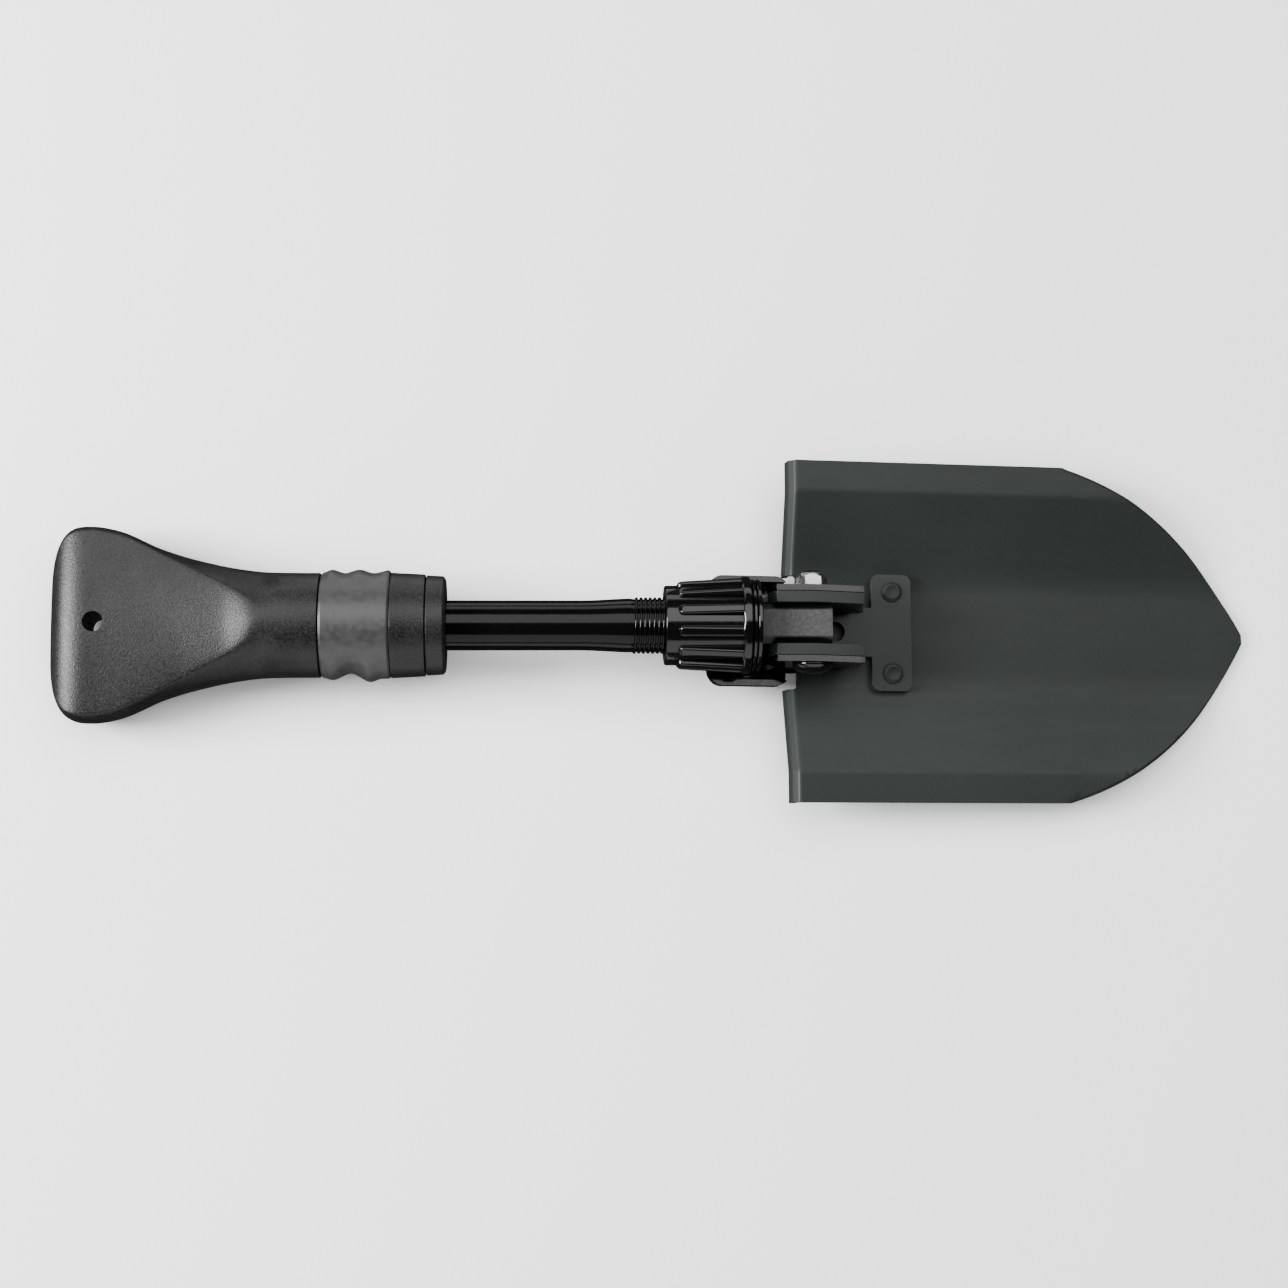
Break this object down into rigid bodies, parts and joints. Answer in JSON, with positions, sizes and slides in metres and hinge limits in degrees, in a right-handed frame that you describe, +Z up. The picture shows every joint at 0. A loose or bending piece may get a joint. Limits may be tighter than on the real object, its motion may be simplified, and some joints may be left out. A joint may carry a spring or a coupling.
{
  "type": "folding camp shovel",
  "caption": "Compact folding camp shovel: pointed steel blade on a hinge, held by a screwed lock collar, and a flared handle that slides on its shaft.",
  "frame": {"origin": "centre of the overall footprint, on the surface that the open shovel lies on", "axes": "+X from the grip to the blade tip, +Y across the blade along the hinge pin, +Z up, out of the front of the blade"},
  "size_m": [0.4326, 0.123, 0.0468],
  "materials": {
    "grip_nylon": "moulded black nylon with a fine spark-eroded texture",
    "inner_nylon": "plain moulded nylon",
    "grip_rubber": "smooth matte rubber",
    "black_enamel": "glossy black stoved enamel",
    "blade_coat": "satin grey-green powder coat",
    "grey_steel": "dull grey phosphated steel",
    "bright_steel": "turned steel",
    "zinc_plate": "bright zinc plating",
    "bronze": "oiled sintered bronze"
  },
  "bodies": {
    "shaft": {"shaft_tube": "black_enamel", "hinge_tongue": "grey_steel", "tongue_pin": "bright_steel", "pivot_bush": "bronze", "shaft_stop": "grey_steel", "stop_pin": "bright_steel"},
    "handle": {"grip_front_shell": "grip_nylon", "grip_back_shell": "grip_nylon", "grip_screws": "bright_steel", "neck_tube": "inner_nylon", "guide_bush": "inner_nylon", "lock_collet": "inner_nylon", "end_ring": "grip_nylon"},
    "twist_lock": {"twist_sleeve": "grip_nylon", "rubber_grip": "grip_rubber"},
    "collar_carrier": {"thrust_washer": "black_enamel", "pressure_ring": "black_enamel"},
    "collar": {"lock_collar": "black_enamel", "collar_insert": "bright_steel"},
    "blade_assembly": {"blade": "blade_coat", "hinge_bracket": "blade_coat", "rear_brace": "black_enamel", "blade_rivets": "blade_coat", "pivot_bolt": "black_enamel", "pivot_nut": "zinc_plate"}
  },
  "joints": [
    {"name": "blade_fold", "type": "hinge", "parent": "shaft", "child": "blade_assembly", "pos_m": [0.04731, 0, 0.03167], "axis": [0, -1, 0], "range_deg": [0, 180]},
    {"name": "collar_travel", "type": "slide", "parent": "shaft", "child": "collar_carrier", "axis": [0.9976, 0, 0.0688], "range_m": [-0.00991, 0]},
    {"name": "collar_turn", "type": "hinge", "parent": "collar_carrier", "child": "collar", "pos_m": [0.01143, 0, 0.02869], "axis": [0.9976, 0, 0.0688], "range_deg": [-2160, 0]},
    {"name": "handle_slide", "type": "slide", "parent": "shaft", "child": "handle", "axis": [0.9976, 0, 0.0688], "range_m": [0, 0.04]},
    {"name": "twist_turn", "type": "hinge", "parent": "handle", "child": "twist_lock", "pos_m": [-0.10729, 0, 0.0205], "axis": [0.9976, 0, 0.0688], "range_deg": [0, 90]}
  ],
  "couplings": [
    {"joint": "collar_travel", "follows": "collar_turn", "m_per_rad": 0.00026261}
  ]
}
